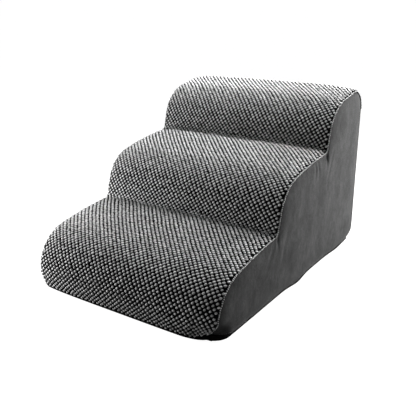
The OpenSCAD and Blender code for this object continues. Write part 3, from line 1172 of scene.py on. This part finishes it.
# Rows of stitches round the zipper: how far out they are, and the room left for the pull.
ZIP_ROWS = (3 * MM, 9 * MM)
ZIP_ROW_REACH = 5 * MM
PULL_CLEAR = 4.5 * MM
BACK_ROW_BELOW = 3.5 * MM
BACK_ROW_END = 6 * MM


def stitch_points(points, normals, length, start):
    """The rings of points round one stitch of a row."""
    places, lifts, radii = np.array(STITCH_RINGS).T
    stops = start + STITCH_L * places
    at = np.stack([np.interp(stops, length, points[:, k]) for k in range(3)], 1)
    up = np.stack([np.interp(stops, length, normals[:, k]) for k in range(3)], 1)
    ahead = at[-1] - at[0]
    ahead /= np.linalg.norm(ahead)
    side = np.cross(ahead, up)
    centre = at + up * lifts[:, None] * THREAD_R
    turn = (np.arange(THREAD_SIDES) * 2 * math.pi / THREAD_SIDES)[None, :, None]
    round_thread = np.cos(turn) * side[:, None] + np.sin(turn) * up[:, None]
    return (centre[:, None] + THREAD_R * radii[:, None, None] * round_thread).reshape(-1, 3)


def make_stitches(name, paths):
    """Rows of short raised threads. Each path is a list of points and the normal at each."""
    verts, faces = [], []
    for points, normals in paths:
        length = np.concatenate([[0], np.cumsum(np.linalg.norm(np.diff(points, axis=0), axis=1))])
        for start in np.arange(STITCH_GAP, length[-1] - STITCH_L, STITCH_L + STITCH_GAP):
            first = len(verts)
            verts.extend(stitch_points(points, normals, length, start))
            faces += tube_faces(len(STITCH_RINGS), THREAD_SIDES, first)
            faces.append(tuple(range(first + THREAD_SIDES - 1, first - 1, -1)))
            faces.append(tuple(range(len(verts) - THREAD_SIDES, len(verts))))
    stitches = new_piece(name, verts, faces, THREAD)


def cover_path(u, s):
    """Points and normals of a row of stitches on the cover."""
    point, _, _, normal = cover_frame(np.asarray(u, float), np.asarray(s, float))
    return point, normal


def hem_path(side):
    """A row of stitches along the lower edge of a side panel, just above the base cloth's rim."""
    share = np.linspace(0.02, 0.98, 300)
    floor_point = low_side_point(side, share, np.full(len(share), FLOOR))
    height = rim_height(floor_point) + HEM_ABOVE_RIM
    point = low_side_point(side, share, height)
    ahead = low_side_point(side, share + 0.002, height) - point
    up = low_side_point(side, share, height + 1 * MM) - point
    normal = np.cross(ahead, up) * side
    return point, normal / np.linalg.norm(normal, axis=1, keepdims=True)


def make_seam_stitches():
    """The rows round the zipper, under the back seam and along the lower edges of the sides."""
    slot_u = across_at(SLOT_X)
    spread = np.linspace(-1, 1, 200)
    rows = []
    for margin in ZIP_ROWS:
        reach = slot_u + min(margin, ZIP_ROW_REACH)
        for side in (-1, 1):
            row_s = np.full(len(spread), s_zip + side * (SLOT_H / 2 + margin))
            rows.append(cover_path(spread * reach, row_s))
    for side, up in ((-1, -1), (-1, 1), (1, -1), (1, 1)):
        end_s = s_zip + up * np.linspace(PULL_CLEAR, SLOT_H / 2 + ZIP_ROWS[0], 20)
        rows.append(cover_path(np.full(len(end_s), side * (slot_u + ZIP_ROWS[0])), end_s))
    make_stitches("zipper_stitches", rows)
    back_s = np.full(len(spread), s_top_back + BACK_ROW_BELOW)
    make_stitches("back_seam_stitches", [cover_path(spread * (U_MAX - BACK_ROW_END), back_s)])
    make_stitches("hem_stitches", [hem_path(-1), hem_path(1)])


# ---- Zipper ----

TAPE_T = 0.5 * MM
TAPE_SINK = 0.3 * MM
COIL_PITCH = 1.4 * MM
COIL_TURN_POINTS = 12
COIL_SQUARENESS = 0.75
WIRE_R = 0.36 * MM
WIRE_SIDES = 6
METAL_EDGE = 0.15 * MM
DOT_EDGE = 0.25 * MM

# Across a tape from the coil outwards: share of its width, and how proud it stands in mm.
TAPE_SECTION = ((0, 0.25), (0.03, 0.35), (0.08, 0.3), (0.14, 0), (0.3, 0), (0.55, 0), (0.8, 0),
                (0.94, 0.08), (1, 0.02))


def make_tape(node, side):
    """A woven tape with a thicker corded edge beside the coil."""
    low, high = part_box(node)
    inner = low.z if side > 0 else high.z
    outer = high.z if side > 0 else low.z
    x = np.linspace(low.x, high.x, 92)
    share, proud = np.array(TAPE_SECTION).T
    y = high.y - TAPE_SINK + proud * MM
    z = inner + (outer - inner) * share
    front = np.stack(np.broadcast_arrays(x[None], y[:, None], z[:, None]), -1)
    flip = -1 if side > 0 else 1
    faces = grid_faces(len(share), len(x))[:, ::flip]
    tape = new_piece(node + "_twill", front.reshape(-1, 3), faces, TAPE)
    thicken(tape, TAPE_T)
    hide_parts(node)


def make_coil(node, side):
    """One nylon coil row: a flattened helix, with the loops that face the other row squarer."""
    low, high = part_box(node)
    centre_z = (low.z + high.z) / 2
    centre_y = (low.y + high.y) / 2
    half_w = (high.z - low.z) / 2 - WIRE_R
    half_h = (high.y - low.y) / 2 - WIRE_R
    turns = int((high.x - low.x - 2 * WIRE_R) / COIL_PITCH)
    t = np.arange(turns * COIL_TURN_POINTS + 1) / COIL_TURN_POINTS
    angle = 2 * math.pi * t
    wide = np.sign(np.cos(angle)) * np.abs(np.cos(angle)) ** COIL_SQUARENESS
    tall = np.sign(np.sin(angle)) * np.abs(np.sin(angle)) ** COIL_SQUARENESS
    start = (low.x + high.x) / 2 - turns * COIL_PITCH / 2
    path = np.stack([start + t * COIL_PITCH, centre_y + half_h * tall,
                     centre_z + side * half_w * wide], 1)
    ahead = np.gradient(path, axis=0)
    ahead /= np.linalg.norm(ahead, axis=1, keepdims=True)
    out = np.cross(ahead, [1.0, 0, 0])
    out /= np.linalg.norm(out, axis=1, keepdims=True)
    cross = np.cross(ahead, out)
    turn = (np.arange(WIRE_SIDES) * 2 * math.pi / WIRE_SIDES)[None, :, None]
    round_wire = np.cos(turn) * out[:, None] + np.sin(turn) * cross[:, None]
    verts = path[:, None] + WIRE_R * round_wire
    faces = tube_faces(len(path), WIRE_SIDES)
    last = (len(path) - 1) * WIRE_SIDES
    faces.append(tuple(range(WIRE_SIDES - 1, -1, -1)))
    faces.append(tuple(range(last, last + WIRE_SIDES)))
    coil = new_piece(node + "_helix", verts.reshape(-1, 3), faces, COIL)
    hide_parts(node)


def make_zipper():
    """Both tapes and coil rows, and the metal nodes that stay."""
    make_tape("zipper_tape_upper", 1)
    make_tape("zipper_tape_lower", -1)
    make_coil("zipper_coil_upper", 1)
    make_coil("zipper_coil_lower", -1)
    for node in ("zipper_top_stops", "zipper_bottom_stop", "zipper_slider", "zipper_pull"):
        finish_cad_node(node, METAL, METAL_EDGE)


# ---- Care label ----

LABEL_T = 0.35 * MM
LABEL_GAP = 0.5 * MM
LABEL_CURL = 5 * MM
LABEL_WAVE = 0.8 * MM


def make_care_label():
    """A blank satin label, sewn in at the side seam, whose free end curls a little."""
    low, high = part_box("care_label")
    width, height = high.x - low.x, high.z - low.z
    share = np.linspace(0, 1, 30)
    s = s_top_back + TOP_BACK_Z - np.linspace(low.z, high.z, 18)
    u_grid, s_grid = np.meshgrid(across_at(high.x) - share * width, s)
    point, _, _, normal = cover_frame(u_grid, s_grid)
    wave = LABEL_WAVE * np.sin(s_grid / height * 4) * share
    cloth = point + normal * (LABEL_GAP + LABEL_CURL * share ** 3 + wave)[..., None]
    label = new_piece("care_label_satin", cloth.reshape(-1, 3), grid_faces(*u_grid.shape), SATIN)
    thicken(label, LABEL_T)
    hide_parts("care_label")


make_tread_panel()
make_side_panel("side_panel_left", -1)
make_side_panel("side_panel_right", 1)
make_back_panels()
make_base_cloth()
finish_cad_node("grip_dots", RUBBER, DOT_EDGE)
make_filling()
make_zipper()
make_care_label()
make_seam_stitches()
